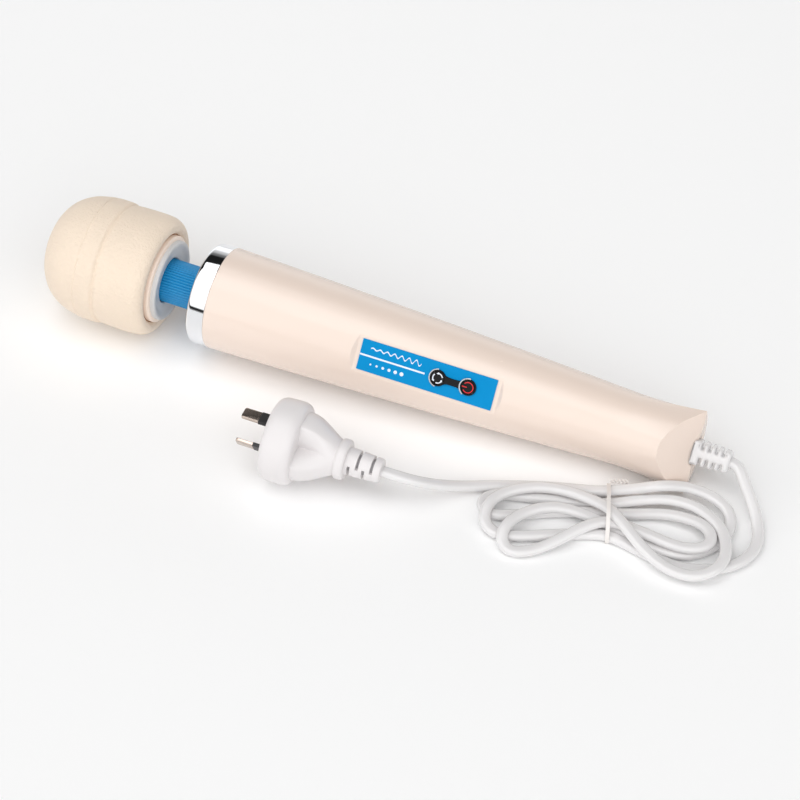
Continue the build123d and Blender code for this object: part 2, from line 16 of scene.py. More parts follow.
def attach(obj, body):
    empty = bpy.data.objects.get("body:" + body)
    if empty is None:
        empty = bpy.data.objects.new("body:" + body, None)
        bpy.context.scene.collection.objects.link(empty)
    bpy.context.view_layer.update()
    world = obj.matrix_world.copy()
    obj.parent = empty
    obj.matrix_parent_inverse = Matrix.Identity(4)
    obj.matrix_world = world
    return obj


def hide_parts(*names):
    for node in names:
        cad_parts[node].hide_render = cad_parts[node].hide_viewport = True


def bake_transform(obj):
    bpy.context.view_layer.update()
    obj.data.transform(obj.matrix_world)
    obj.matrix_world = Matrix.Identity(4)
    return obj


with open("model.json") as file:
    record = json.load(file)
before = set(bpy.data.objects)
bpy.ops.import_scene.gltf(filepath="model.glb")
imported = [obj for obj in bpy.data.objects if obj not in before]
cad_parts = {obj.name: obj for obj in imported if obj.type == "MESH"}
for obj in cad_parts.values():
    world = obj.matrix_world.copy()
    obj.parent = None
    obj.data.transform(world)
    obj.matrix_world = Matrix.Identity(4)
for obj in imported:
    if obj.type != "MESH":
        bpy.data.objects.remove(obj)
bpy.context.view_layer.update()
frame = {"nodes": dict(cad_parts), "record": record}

MM = 0.001
joints = {joint["name"]: joint for joint in frame["record"]["behaviour"]["joints"]}

# ---------------------------------------------------------------- frames

# The motor's joint and the panel's middle on the wand, and the plug in the row frame
SPIN_X = 40.0
PANEL_X, PANEL_Z = 111.0, 19.7
PLUG_PLACE, PLUG_YAW, PLUG_PITCH = (-8.4, -68.9, 20.3), 3.0, 4.5


def placed(origin, x_axis, y_axis, z_axis):
    """A matrix from millimetres in a local frame to metres in the row frame."""
    matrix = Matrix((x_axis, y_axis, z_axis)).transposed().to_4x4()
    return Matrix.Translation(origin) @ matrix @ Matrix.Scale(MM, 4)


along = Vector(joints["motor_spin"]["axis"]).normalized()
across = Vector(joints["neck_pitch"]["axis"]).normalized()
outward = Vector(joints["neck_yaw"]["axis"]).normalized()
ring_rear = Vector(joints["motor_spin"]["pos_m"]) - along * SPIN_X * MM
WAND = placed(ring_rear, along, across, outward)

HEAD_X = 2.5
HEAD = WAND @ Matrix.Translation((HEAD_X, 0, 0))

panel_normal = -Vector(joints["mode_press"]["axis"]).normalized()
panel_along = across.cross(panel_normal)
PANEL = placed(WAND @ Vector((PANEL_X, 0, PANEL_Z)), panel_along, across, panel_normal)

plug_yaw = Matrix.Rotation(math.radians(PLUG_YAW), 4, "Z")
plug_pitch = Matrix.Rotation(math.radians(PLUG_PITCH), 4, "Y")
PLUG = Matrix.Translation(Vector(PLUG_PLACE) * MM) @ plug_yaw @ plug_pitch @ Matrix.Scale(MM, 4)


# ---------------------------------------------------------------- materials

def new_material(name):
    material = bpy.data.materials.new(name)
    material.use_nodes = True
    return material, material.node_tree.nodes, material.node_tree.links


def add_noise(nodes, links, place, scale, detail):
    """A noise texture that stays with the object."""
    texture = nodes.new("ShaderNodeTexNoise")
    texture.inputs["Scale"].default_value = scale
    texture.inputs["Detail"].default_value = detail
    links.new(place.outputs["Object"], texture.inputs["Vector"])
    return texture


def add_bump(nodes, links, height, strength, distance):
    """Relief from a height, with its distance in metres."""
    bump = nodes.new("ShaderNodeBump")
    bump.inputs["Strength"].default_value = strength
    bump.inputs["Distance"].default_value = distance
    links.new(height, bump.inputs["Height"])
    links.new(bump.outputs["Normal"], nodes["Principled BSDF"].inputs["Normal"])


def surface(name, colour, roughness, vary=0.02, grain=0.0, grain_size=1.0, wear=0.05, **sockets):
    """A material with slight mottling, uneven gloss and an optional fine grain.

    Sizes are in millimetres; sockets are further values of the Principled shader."""
    material, nodes, links = new_material(name)
    shader = nodes["Principled BSDF"]
    place = nodes.new("ShaderNodeTexCoord")

    mottle = add_noise(nodes, links, place, 60.0, 4.0)
    tint = nodes.new("ShaderNodeMix")
    tint.data_type = "RGBA"
    darker = [c * (1 - 2 * vary) for c in colour]
    tint.inputs["A"].default_value = (*darker, 1)
    tint.inputs["B"].default_value = (*colour, 1)
    links.new(mottle.outputs["Fac"], tint.inputs["Factor"])
    links.new(tint.outputs["Result"], shader.inputs["Base Color"])

    smear = add_noise(nodes, links, place, 140.0, 6.0)
    gloss = nodes.new("ShaderNodeMapRange")
    gloss.inputs["To Min"].default_value = max(0.02, roughness - wear)
    gloss.inputs["To Max"].default_value = min(1.0, roughness + wear)
    links.new(smear.outputs["Fac"], gloss.inputs["Value"])
    links.new(gloss.outputs["Result"], shader.inputs["Roughness"])

    if grain:
        fine = add_noise(nodes, links, place, 1000.0 / grain_size, 3.0)
        add_bump(nodes, links, fine.outputs["Fac"], grain, 0.0003)
    for socket, value in sockets.items():
        shader.inputs[socket.replace("_", " ")].default_value = value
    return material


def soft_cover_material():
    """Soft vinyl over foam: a pebbled grain over shallow, broader wrinkles."""
    material = surface("soft_cover", (0.885, 0.745, 0.605), 0.72, vary=0.03, Sheen_Weight=0.1)
    nodes, links = material.node_tree.nodes, material.node_tree.links
    place = nodes.new("ShaderNodeTexCoord")
    pebble = nodes.new("ShaderNodeTexVoronoi")
    pebble.inputs["Scale"].default_value = 900.0
    links.new(place.outputs["Object"], pebble.inputs["Vector"])
    wrinkle = add_noise(nodes, links, place, 420.0, 5.0)
    both = nodes.new("ShaderNodeMath")
    both.operation = "ADD"
    links.new(pebble.outputs["Distance"], both.inputs[0])
    links.new(wrinkle.outputs["Fac"], both.inputs[1])
    add_bump(nodes, links, both.outputs["Value"], 0.6, 0.00045)
    return material


MATERIALS = {
    "ivory_shell": surface("ivory_shell", (0.86, 0.72, 0.63), 0.26, vary=0.008, wear=0.03,
                           Coat_Weight=0.35, Coat_Roughness=0.12),
    "chrome": surface("chrome", (0.86, 0.87, 0.89), 0.05, vary=0.01, wear=0.02, Metallic=1.0),
    "blue_label": surface("blue_label", (0.0, 0.265, 0.60), 0.48, vary=0.01, grain=0.05, grain_size=0.4,
                          Specular_IOR_Level=0.1),
    "white_print": surface("white_print", (0.80, 0.86, 0.95), 0.4),
    "red_print": surface("red_print", (0.70, 0.012, 0.018), 0.35),
    "black_gloss": surface("black_gloss", (0.010, 0.010, 0.011), 0.22, grain=0.04, grain_size=1.5,
                           Specular_IOR_Level=0.15),
    "bright_rim": surface("bright_rim", (0.55, 0.57, 0.60), 0.24, Metallic=1.0),
    "black_plastic": surface("black_plastic", (0.02, 0.02, 0.021), 0.45, grain=0.15, grain_size=0.5),
    "board_green": surface("board_green", (0.02, 0.17, 0.06), 0.35),
    "steel": surface("steel", (0.55, 0.56, 0.58), 0.3, Metallic=1.0),
    "white_plastic": surface("white_plastic", (0.64, 0.635, 0.635), 0.34, vary=0.01, grain=0.05),
    "warm_plastic": surface("warm_plastic", (0.93, 0.78, 0.67), 0.36, vary=0.015, grain=0.05),
    # Dark brown for the ring in the head's seam gap: painted shade.
    "gap_shade_brown": surface("gap_shade_brown", (0.30, 0.13, 0.04), 0.6, grain=0.2, grain_size=0.5),
    # Mid grey for the core under the plug's slots: painted shade.
    "slot_shade_grey": surface("slot_shade_grey", (0.36, 0.35, 0.36), 0.6, grain=0.1, grain_size=0.8),
    "blue_rubber": surface("blue_rubber", (0.006, 0.28, 0.60), 0.42, vary=0.04, grain=0.1, grain_size=0.5),
    "black_rubber": surface("black_rubber", (0.03, 0.03, 0.03), 0.6, grain=0.2, grain_size=0.5),
    "magnet": surface("magnet", (0.12, 0.12, 0.13), 0.6),
    "carbon": surface("carbon", (0.05, 0.05, 0.05), 0.5),
    "brass": surface("brass", (0.72, 0.50, 0.22), 0.35, Metallic=1.0),
    "copper": surface("copper", (0.72, 0.35, 0.20), 0.35, Metallic=1.0),
    "soft_cover": soft_cover_material(),
    "white_rubber": surface("white_rubber", (0.79, 0.775, 0.775), 0.25, vary=0.015, grain=0.05,
                            grain_size=1.2, Coat_Weight=0.3, Coat_Roughness=0.15),
    "tie_white": surface("tie_white", (0.86, 0.82, 0.79), 0.5, grain=0.1, grain_size=0.6),
    "wire_brown": surface("wire_brown", (0.16, 0.06, 0.03), 0.45),
    "wire_red": surface("wire_red", (0.5, 0.03, 0.02), 0.45),
    "white_plug": surface("white_plug", (0.79, 0.76, 0.76), 0.33, vary=0.012, grain=0.06, grain_size=0.8),
    "pin_metal": surface("pin_metal", (0.58, 0.49, 0.43), 0.24, Metallic=1.0),
}


# ---------------------------------------------------------------- camera

CAMERA_PLACE = (0.34649, -0.79495, 0.86075)
CAMERA_RIGHT, CAMERA_UP = (0.92448, 0.38124, 0.0), (-0.27069, 0.65641, 0.70416)
CAMERA_LENS = 114.3


def make_camera():
    data = bpy.data.cameras.new("camera")
    data.lens = CAMERA_LENS
    data.sensor_width = 36.0
    camera = bpy.data.objects.new("camera", data)
    right, up = Vector(CAMERA_RIGHT), Vector(CAMERA_UP)
    turn = Matrix((right, up, right.cross(up))).transposed().to_4x4()
    camera.matrix_world = Matrix.Translation(CAMERA_PLACE) @ turn
    bpy.context.collection.objects.link(camera)
    bpy.context.scene.camera = camera


make_camera()


# ---------------------------------------------------------------- cord

# The cord's route is given by control points in millimetres of the row frame; LOW lies on the surface
CORD_WIDTH, CORD_THICKNESS = 5.6, 3.9
LOW = 2.2
TAIL_X, RELIEF_LENGTH, PLUG_END_X = 238.4, 16.5, 46.0


def in_row(matrix, x):
    """A point on a local frame's axis, in millimetres of the row frame."""
    return tuple(matrix @ Vector((x, 0, 0)) / MM)


lead = [
    in_row(WAND, TAIL_X + RELIEF_LENGTH), in_row(WAND, TAIL_X + RELIEF_LENGTH + 2.5), (187.8, -2.4, 14.8),
    (190.9, -6.2, 12.6), (194.6, -10.2, 9.8), (198.6, -14.6, 6.8), (202.2, -20.4, 4.2), (205.0, -27.4, 2.8),
    (205.7, -35.0, 2.6), (203.5, -42.2, 2.6), (199.0, -48.4, 2.6), (192.6, -53.0, 2.6), (185.0, -56.2, LOW),
    (175.5, -58.0, LOW), (164.0, -56.5, LOW), (152.0, -53.5, LOW),
]

# Each turn of the hank goes out from the tie, round its end, and back
left_big = [
    (141.2, -51.4, LOW), (131.0, -55.0, LOW), (120.0, -60.0, LOW), (109.0, -65.5, LOW), (99.0, -69.5, LOW),
    (91.5, -70.0, 3.0), (86.6, -65.5, 4.6), (85.6, -58.5, 6.2), (88.0, -51.5, 6.4), (94.0, -44.8, 6.4),
    (102.0, -39.8, 6.4), (111.5, -37.2, 6.5), (121.5, -37.2, 7.0), (130.5, -38.8, 7.6),
]
right_big = [
    (137.7, -41.4, 9.0), (144.3, -46.4, 9.9), (151.5, -52.0, 9.2), (160.5, -57.8, 7.0), (170.0, -61.8, 5.0),
    (179.5, -63.6, 4.6), (187.8, -62.0, 5.2), (193.4, -57.0, 6.3), (195.6, -49.8, 6.5), (194.2, -41.8, 6.5),
    (189.6, -32.6, 6.6), (181.4, -26.6, 6.6), (170.8, -23.0, 6.6), (158.5, -24.2, 6.2), (147.0, -28.6, 4.4),
]
left_small = [
    (135.5, -33.8, LOW), (124.0, -37.0, LOW), (112.0, -40.2, LOW), (100.0, -43.2, LOW), (91.8, -45.4, LOW),
    (85.8, -47.2, LOW), (82.1, -50.8, LOW), (82.0, -55.5, LOW), (85.6, -59.0, LOW), (91.0, -59.2, LOW),
    (97.2, -56.6, LOW), (105.5, -52.0, LOW), (115.0, -47.2, LOW), (126.5, -42.4, LOW),
]
right_inner = [
    (137.3, -38.8, LOW), (146.5, -35.8, LOW), (155.5, -32.2, 2.8), (165.0, -30.2, 4.0), (174.5, -30.8, 5.2),
    (181.2, -33.0, 6.1), (185.4, -36.8, 6.2), (186.8, -41.8, 6.2), (184.0, -46.4, 6.2),
    (178.2, -49.0, 6.2), (171.5, -49.6, 6.2), (163.0, -48.6, 6.2), (152.5, -47.0, 6.2),
]
left_outer = [
    (139.6, -46.4, 6.2), (131.0, -53.8, 6.3), (124.0, -63.0, 4.6), (116.5, -70.6, 2.6), (109.6, -75.8, LOW),
    (103.8, -77.4, LOW), (99.5, -75.2, 3.6), (97.6, -70.8, 5.4), (98.4, -65.6, 6.3), (101.4, -58.6, 6.3),
    (108.0, -51.4, 6.3), (117.0, -46.9, 6.2), (127.5, -45.4, 4.4),
]
right_outer = [
    (139.4, -45.7, LOW), (150.0, -48.2, LOW), (161.0, -50.8, LOW), (172.0, -51.4, LOW), (181.2, -48.0, LOW),
    (187.4, -41.2, LOW), (191.0, -33.0, 2.8), (191.6, -26.0, 3.8), (189.0, -20.4, 5.2), (183.6, -16.4, 6.2),
    (176.2, -14.6, 7.0), (169.2, -15.0, 8.2), (163.4, -17.4, 9.8), (157.4, -21.2, 11.4), (151.4, -23.6, 10.4),
    (145.0, -24.6, 7.6),
]
plug_lead = [
    (136.0, -26.2, 4.2), (128.0, -28.0, LOW), (119.0, -30.4, LOW), (111.0, -32.6, LOW), (101.0, -35.8, LOW),
    (91.0, -39.8, 2.4), (81.5, -43.5, 2.5), (75.4, -47.1, 3.2), (69.6, -51.3, 5.0), (64.0, -55.8, 7.6),
    (58.3, -60.1, 10.6), (52.3, -63.7, 13.6), in_row(PLUG, PLUG_END_X + 7), in_row(PLUG, PLUG_END_X),
]
CORD_ROUTE = lead + left_big + right_big + left_small + right_inner + left_outer + right_outer + plug_lead


def spline_curve(name, points):
    """An open smooth curve through the air near its control points, given in millimetres."""
    data = bpy.data.curves.new(name, "CURVE")
    data.dimensions = "3D"
    spline = data.splines.new("NURBS")
    spline.points.add(len(points) - 1)
    for point, place in zip(spline.points, points):
        point.co = (*(Vector(place) * MM), 1)
    spline.order_u = 3
    spline.use_endpoint_u = True
    data.resolution_u = 12
    piece = bpy.data.objects.new(name, data)
    bpy.context.collection.objects.link(piece)
    return piece


def quads(rows, columns, start=0, closed=False, round_row=True):
    """Faces between neighbouring rows of points.

    A round row joins its last point to its first; closed joins the last row to the first."""
    faces = []
    for i in range(rows if closed else rows - 1):
        low, high = start + i * columns, start + (i + 1) % rows * columns
        for j in range(columns if round_row else columns - 1):
            k = (j + 1) % columns
            faces.append((low + j, low + k, high + k, high + j))
    return faces


def tube_mesh(name, line_piece, width, thickness, material):
    """A flat tube that follows a curve and keeps its wide side level, and the line it follows."""
    bare = bpy.data.meshes.new_from_object(line_piece)
    line = [vertex.co.copy() for vertex in bare.vertices]
    bpy.data.meshes.remove(bare)
    steps = 9
    radius, half = thickness / 2, (width - thickness) / 2
    outline = []
    for side in (1, -1):
        for i in range(steps + 1):
            angle = math.pi * (i / steps - 0.5) + (0 if side > 0 else math.pi)
            outline.append((side * half + radius * math.cos(angle), radius * math.sin(angle)))
    verts = []
    for i, place in enumerate(line):
        ahead = line[min(i + 1, len(line) - 1)] - line[max(i - 1, 0)]
        side = ahead.cross(Vector((0, 0, 1))).normalized()
        up = side.cross(ahead).normalized()
        verts += [place + (side * x + up * y) * MM for x, y in outline]
    count = len(outline)
    faces = [tuple(range(count))[::-1], tuple(range(len(verts) - count, len(verts)))]
    piece = mesh_piece(name, verts, faces + quads(len(line), count), material)
    return piece, line


def mesh_piece(name, verts, faces, material, matrix=Matrix.Identity(4), sharp=40):
    """A mesh object from points in a local frame, smooth but for edges sharper than an angle."""
    mesh = bpy.data.meshes.new(name)
    mesh.from_pydata([matrix @ Vector(v) for v in verts], [], faces)
    tidy = bmesh.new()
    tidy.from_mesh(mesh)
    bmesh.ops.remove_doubles(tidy, verts=tidy.verts, dist=1e-6)
    bmesh.ops.recalc_face_normals(tidy, faces=tidy.faces)
    tidy.to_mesh(mesh)
    tidy.free()
    mesh.polygons.foreach_set("use_smooth", [True] * len(mesh.polygons))
    mesh.set_sharp_from_angle(angle=math.radians(sharp))
    mesh.materials.append(MATERIALS[material])
    piece = bpy.data.objects.new(name, mesh)
    bpy.context.collection.objects.link(piece)
    return piece


def finish_piece(piece, body, slot, *nodes):
    """Says what body a piece rides on and hides the CAD nodes it stands for; the slot is not used."""
    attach(piece, body)
    if nodes:
        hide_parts(*nodes)
    return piece


cord_line = spline_curve("cord_line", CORD_ROUTE)
cord, cord_path = tube_mesh("mains_cord", cord_line, CORD_WIDTH, CORD_THICKNESS, "white_rubber")
bpy.data.objects.remove(cord_line)


# ---------------------------------------------------------------- mesh helpers

def smooth_profile(points, steps=6):
    """A smooth line through (x, radius) points."""
    ends = [points[0], *points, points[-1]]
    line = []
    for a, b, c, d in zip(ends, ends[1:], ends[2:], ends[3:]):
        for i in range(steps):
            t = i / steps
            line.append(tuple(
                0.5 * (2 * q + (r - p) * t
                       + (2 * p - 5 * q + 4 * r - s) * t**2
                       + (3 * q - p - 3 * r + s) * t**3)
                for p, q, r, s in zip(a, b, c, d)))
    return line + [points[-1]]


def rounded_corners(points, radius, steps=4):
    """A closed outline with its corners cut round. A point may carry its own radius."""
    line = []
    count = len(points)
    for i, corner in enumerate(points):
        own = corner[2] if len(corner) > 2 else radius
        here = Vector(corner[:2])
        before, after = Vector(points[i - 1][:2]), Vector(points[(i + 1) % count][:2])
        back, ahead = (before - here), (after - here)
        if own <= 0:
            line.append(tuple(here))
            continue
        reach = min(own, back.length * 0.49, ahead.length * 0.49)
        start, end = here + back.normalized() * reach, here + ahead.normalized() * reach
        for j in range(steps + 1):
            t = j / steps
            line.append(tuple(start * (1 - t) ** 2 + here * 2 * t * (1 - t) + end * t**2))
    return line


def lathe(name, profile, material, matrix, segments=96, sharp=40):
    """A solid turned about the x axis of a local frame from a closed (x, radius) line."""
    verts = []
    for x, radius in profile:
        for j in range(segments):
            angle = 2 * math.pi * j / segments
            verts.append((x, max(radius, 0) * math.sin(angle), max(radius, 0) * math.cos(angle)))
    faces = quads(len(profile), segments, closed=True)
    return mesh_piece(name, verts, faces, material, matrix, sharp)


def plate(name, loops, low, high, bevel, material, matrix):
    """A flat plate with rounded edges in a local xy plane; later loops are holes in the first."""
    data = bpy.data.curves.new(name, "CURVE")
    data.dimensions = "2D"
    data.fill_mode = "BOTH"
    data.extrude = ((high - low) / 2 - bevel) * MM
    data.bevel_depth = bevel * MM
    data.bevel_resolution = 2
    for loop in loops:
        spline = data.splines.new("POLY")
        spline.points.add(len(loop) - 1)
        for point, (x, y) in zip(spline.points, loop):
            point.co = (x * MM, y * MM, 0, 1)
        spline.use_cyclic_u = True
    data.offset = -bevel * MM
    flat = bpy.data.objects.new(name, data)
    mesh = bpy.data.meshes.new_from_object(flat)
    verts = [(v.co.x / MM, v.co.y / MM, v.co.z / MM + (low + high) / 2) for v in mesh.vertices]
    faces = [tuple(p.vertices) for p in mesh.polygons]
    bpy.data.objects.remove(flat)
    bpy.data.meshes.remove(mesh)
    return mesh_piece(name, verts, faces, material, matrix, sharp=50)


def circle(x, y, radius, steps=48):
    """A round outline."""
    angles = [2 * math.pi * i / steps for i in range(steps)]
    return [(x + radius * math.cos(a), y + radius * math.sin(a)) for a in angles]


def ring_sector(radius, width, start, end, steps=24):
    """A curved bar: part of a flat ring between two angles, in degrees."""
    angles = [math.radians(start + (end - start) * i / steps) for i in range(steps + 1)]
    outer = [((radius + width / 2) * math.cos(a), (radius + width / 2) * math.sin(a)) for a in angles]
    inner = [((radius - width / 2) * math.cos(a), (radius - width / 2) * math.sin(a)) for a in angles]
    return outer + inner[::-1]


def moved(loop, x):
    """An outline moved along the panel."""
    return [(x + u, v) for u, v in loop]


# ---------------------------------------------------------------- handle

HANDLE_RADIUS, HANDLE_SLOPE = 25.1, 0.0257
WAIST_X, WAIST_RADIUS = 206.0, 17.4
HANDLE_CURVE = (HANDLE_RADIUS - WAIST_RADIUS - HANDLE_SLOPE * WAIST_X) / WAIST_X**2
TAIL_CORNER = (20.2, 3.0)
TAIL_OUTLINE = [(0.0, 23.4), (3.2, 23.0), (6.2, 21.4), (10.2, 17.6), (14.6, 12.9), TAIL_CORNER]
TAIL_BACK = [(14.6, -7.4), (8.0, -12.0), (0.0, -13.5)]
FACET_SLOPE = 0.85
PANEL_SLOPE = math.tan(math.radians(2.28))
RECESS_HALF, RECESS_RISE = 35.25, 0.9
CORNER_ANGLE = math.degrees(math.atan2(*TAIL_CORNER))
SHELL_THICKNESS = 2.2
RELIEF_HALF_WIDTH, RELIEF_HALF_DEPTH = 6.45, 4.75


def barrel_radius(x):
    """The round part's radius, tapering from the ring to the waist."""
    return HANDLE_RADIUS - HANDLE_SLOPE * x - HANDLE_CURVE * x * x


def polar_table():
    """The tail outline's radius by angle from the panel's side."""
    half = smooth_profile(TAIL_OUTLINE, 12)[:-1] + smooth_profile([TAIL_CORNER, *TAIL_BACK], 12)
    return [(math.degrees(math.atan2(y, z)), math.hypot(y, z)) for y, z in half]


TAIL_POLAR = polar_table()


def tail_radius(angle):
    """The tail outline's radius at an angle."""
    angle = abs(angle)
    for (a0, r0), (a1, r1) in zip(TAIL_POLAR, TAIL_POLAR[1:]):
        if a0 <= angle <= a1:
            return r0 + (r1 - r0) * (angle - a0) / max(a1 - a0, 1e-9)
    return TAIL_POLAR[-1][1]


def flare(x):
    """How far the section has gone from a circle to the tail's shape."""
    start = WAIST_X - 8
    return max(0.0, (x - start) / (TAIL_X - start)) ** 1.75


def skin_radius(x, angle):
    """The handle's radius at an angle from the panel's side, in degrees."""
    share = flare(x)
    radius = barrel_radius(x) if x < WAIST_X else WAIST_RADIUS
    if share > 0:
        radius += (tail_radius(angle) - WAIST_RADIUS) * share
    return radius


def facet_x(angle):
    """Where the flared side meets the slanting end face."""
    x = TAIL_X
    for _ in range(40):
        z = skin_radius(x, angle) * math.cos(math.radians(angle))
        x += 0.5 * (TAIL_X - FACET_SLOPE * max(0.0, z - TAIL_CORNER[1]) - x)
    return x


def panel_floor(x):
    """How far the flat panel lies from the axis, with its sloping end walls."""
    beyond = max(0.0, abs(x - PANEL_X) - RECESS_HALF)
    return PANEL_Z - PANEL_SLOPE * (x - PANEL_X) + beyond * RECESS_RISE


def crease_angle(x):
    """Half the angle that the flat panel takes out of the round handle."""
    x = min(max(x, PANEL_X - RECESS_HALF), PANEL_X + RECESS_HALF)
    return math.degrees(math.acos(panel_floor(x) / barrel_radius(x)))


def handle_rows():
    """Places along the handle, closer together at the panel's ends."""
    fine, coarse, reach = 0.3, 2.0, 2.5
    rows = [0.0, 0.25, 0.8]
    x = 3.0
    while x < WAIST_X - 1:
        near = min(abs(x - (PANEL_X - RECESS_HALF - 1)), abs(x - (PANEL_X + RECESS_HALF + 1)))
        rows.append(x)
        x += fine if near < reach else coarse
    return rows + [WAIST_X]


def skin_point(x, angle):
    """A point of the outer skin, cut flat where the panel's recess is."""
    radius = skin_radius(x, angle)
    turn = math.radians(angle)
    if abs(angle) < 80 and abs(x - PANEL_X) < RECESS_HALF + 5:
        radius = min(radius, panel_floor(x) / math.cos(turn))
    return (x, radius * math.sin(turn), radius * math.cos(turn))


def shell_columns(front, x):
    """Angles round one shell. One column follows the panel's edge and one the tail's corner."""
    if not front:
        steps = 48
        turned = [90 + 180 * i / steps for i in range(steps + 1)]
        return [a if a <= 180 else a - 360 for a in turned]
    crease = crease_angle(x)
    on_panel, to_corner, to_seam = 10, 22, 4
    half = [crease * i / on_panel for i in range(on_panel)]
    half += [crease + (CORNER_ANGLE - crease) * i / to_corner for i in range(to_corner)]
    half += [CORNER_ANGLE + (90 - CORNER_ANGLE) * i / to_seam for i in range(to_seam + 1)]
    return [-a for a in half[:0:-1]] + half


def relief_hole(angle):
    """The rounded opening for the strain relief, as a point at an angle."""
    y, z = math.sin(math.radians(angle)), math.cos(math.radians(angle))
    power = 5
    size = (abs(y / RELIEF_HALF_WIDTH) ** power + abs(z / RELIEF_HALF_DEPTH) ** power) ** (-1 / power)
    return y * size, z * size


def end_point(angle, share):
    """A point of the end face, from the opening (share 0) to the rim (share 1)."""
    x_rim = facet_x(angle)
    _, y_rim, z_rim = skin_point(x_rim, angle)
    y_hole, z_hole = relief_hole(angle)
    y, z = y_hole + (y_rim - y_hole) * share, z_hole + (z_rim - z_hole) * share
    slope = FACET_SLOPE * max(0.0, z - TAIL_CORNER[1])
    crown = 0.5 * math.sin(math.pi * share)
    return (TAIL_X - slope + crown, y, z)


def handle_shell(name, front):
    """One half of the handle: its outer skin, thickened inwards."""
    rows = [[skin_point(x, angle) for angle in shell_columns(front, x)] for x in handle_rows()]
    angles = shell_columns(front, WAIST_X)
    steps = 26
    for i in range(1, steps + 1):
        share = i / steps
        rows.append([skin_point(WAIST_X + (facet_x(a) - WAIST_X) * share, a) for a in angles])
    end_rows = 10
    for i in range(end_rows - 1, -1, -1):
        rows.append([end_point(angle, i / end_rows) for angle in angles])
    verts = [point for row in rows for point in row]
    faces = quads(len(rows), len(angles), round_row=False)
    piece = mesh_piece(name, verts, faces, "ivory_shell", WAND, sharp=26)
    thick = piece.modifiers.new("thickness", "SOLIDIFY")
    thick.thickness = SHELL_THICKNESS * MM
    thick.offset = -1
    return piece


def outward_normals(piece):
    """Turns a single open skin so that its faces look away from the wand's axis."""
    inverse = WAND.inverted()
    face = piece.data.polygons[0]
    place = inverse @ face.center
    normal = (inverse.to_3x3() @ face.normal).normalized()
    if normal.dot(Vector((0, place.y, place.z))) < 0:
        piece.data.flip_normals()


for shell_name, node, is_front in (("shell_front", "front_shell", True), ("shell_rear", "rear_shell", False)):
    shell = handle_shell(shell_name, is_front)
    outward_normals(shell)
    finish_piece(shell, "handle", "ivory_shell", node)

RING_LENGTH, RING_RADIUS, RING_BORE, RING_LIP, RING_GAP = 9.5, 25.0, 23.35, 17.0, 0.15
ring_profile = rounded_corners(
    [(-RING_LENGTH, RING_LIP, 0.3), (-RING_LENGTH, RING_RADIUS, 2.4), (-RING_GAP, RING_RADIUS, 0.35),
     (-RING_GAP, RING_BORE, 0.1), (-RING_LENGTH + 1.4, RING_BORE, 0.1), (-RING_LENGTH + 1.4, RING_LIP, 0.3)],
    0.3, steps=7)
ring = lathe("ring", ring_profile, "chrome", WAND, segments=192, sharp=60)
finish_piece(ring, "handle", "chrome", "chrome_ring")


# ---------------------------------------------------------------- head

COLLAR_X, COLLAR_STEP = -38.0, -32.6
head_outer = smooth_profile([
    (-35.8, 22.25), (-34.9, 22.8), (-34.1, 24.2), (-34.2, 26.3), (-35.7, 28.3), (-38.4, 29.55), (-42.0, 30.0),
    (-47.0, 30.08), (-52.0, 30.0), (-56.0, 29.85), (-57.8, 29.7), (-58.6, 29.38), (-59.0, 29.3),
    (-59.4, 29.55), (-60.1, 30.2), (-61.2, 30.45), (-63.5, 30.5), (-66.6, 30.5), (-68.2, 30.42),
    (-68.8, 30.05), (-69.4, 30.25), (-71.0, 30.1), (-75.0, 29.3),
    (-79.0, 28.1), (-83.0, 26.0), (-86.5, 23.2), (-89.6, 19.2), (-91.8, 14.4), (-93.1, 9.6), (-93.8, 4.8),
    (-94.0, 0.0),
])
head_inner = [(-90.0, 0.0), (-89.0, 14.0), (-79.0, 24.2), (COLLAR_X, 24.2), (COLLAR_X, 22.1), (-36.2, 22.1)]
cover = lathe("soft_cover_skin", head_outer + head_inner, "soft_cover", HEAD, segments=192, sharp=60)
finish_piece(cover, "head", "soft_cover", "head_cover")

flange_profile = rounded_corners(
    [(COLLAR_X, 21.8, 0.2), (-33.0, 21.8, 0.9), (COLLAR_STEP, 20.3, 0.4), (COLLAR_STEP, 18.0, 0.1),
     (COLLAR_X, 18.0, 0.1)], 0.3, steps=6)
collar_flange = lathe("collar_flange", flange_profile, "warm_plastic", HEAD, segments=128, sharp=60)
finish_piece(collar_flange, "head", "white_plastic", "head_collar")
face_profile = rounded_corners(
    [(COLLAR_STEP - 0.4, 20.0, 0.1), (-30.4, 19.9, 1.1), (-30.3, 18.0, 0.9), (-31.4, 15.6, 1.5),
     (-31.7, 11.7, 0.5), (-32.3, 11.2, 0.2), (COLLAR_X, 11.2, 0.1), (COLLAR_X, 17.9, 0.1),
     (COLLAR_STEP - 0.4, 17.9, 0.1)], 0.3, steps=6)
collar_face = lathe("collar_face", face_profile, "white_plastic", HEAD, segments=128, sharp=60)
finish_piece(collar_face, "head", "white_plastic", "head_collar")
# A thin dark brown ring set in the gap between the cover's lip and the collar's flange: painted shade for the
# shadowed gap.
gap_shade_outline = [(-36.0, 21.85), (-35.5, 21.85), (-35.5, 22.35), (-36.0, 22.35)]
gap_shade_ring = lathe("gap_shade_ring", gap_shade_outline, "gap_shade_brown", HEAD)
finish_piece(gap_shade_ring, "head", "soft_cover", "head_cover")


# ---------------------------------------------------------------- neck

NECK_RADIUS, NECK_BORE, NECK_MIDDLE, RIBS = 10.8, 9.0, -20.0, 48


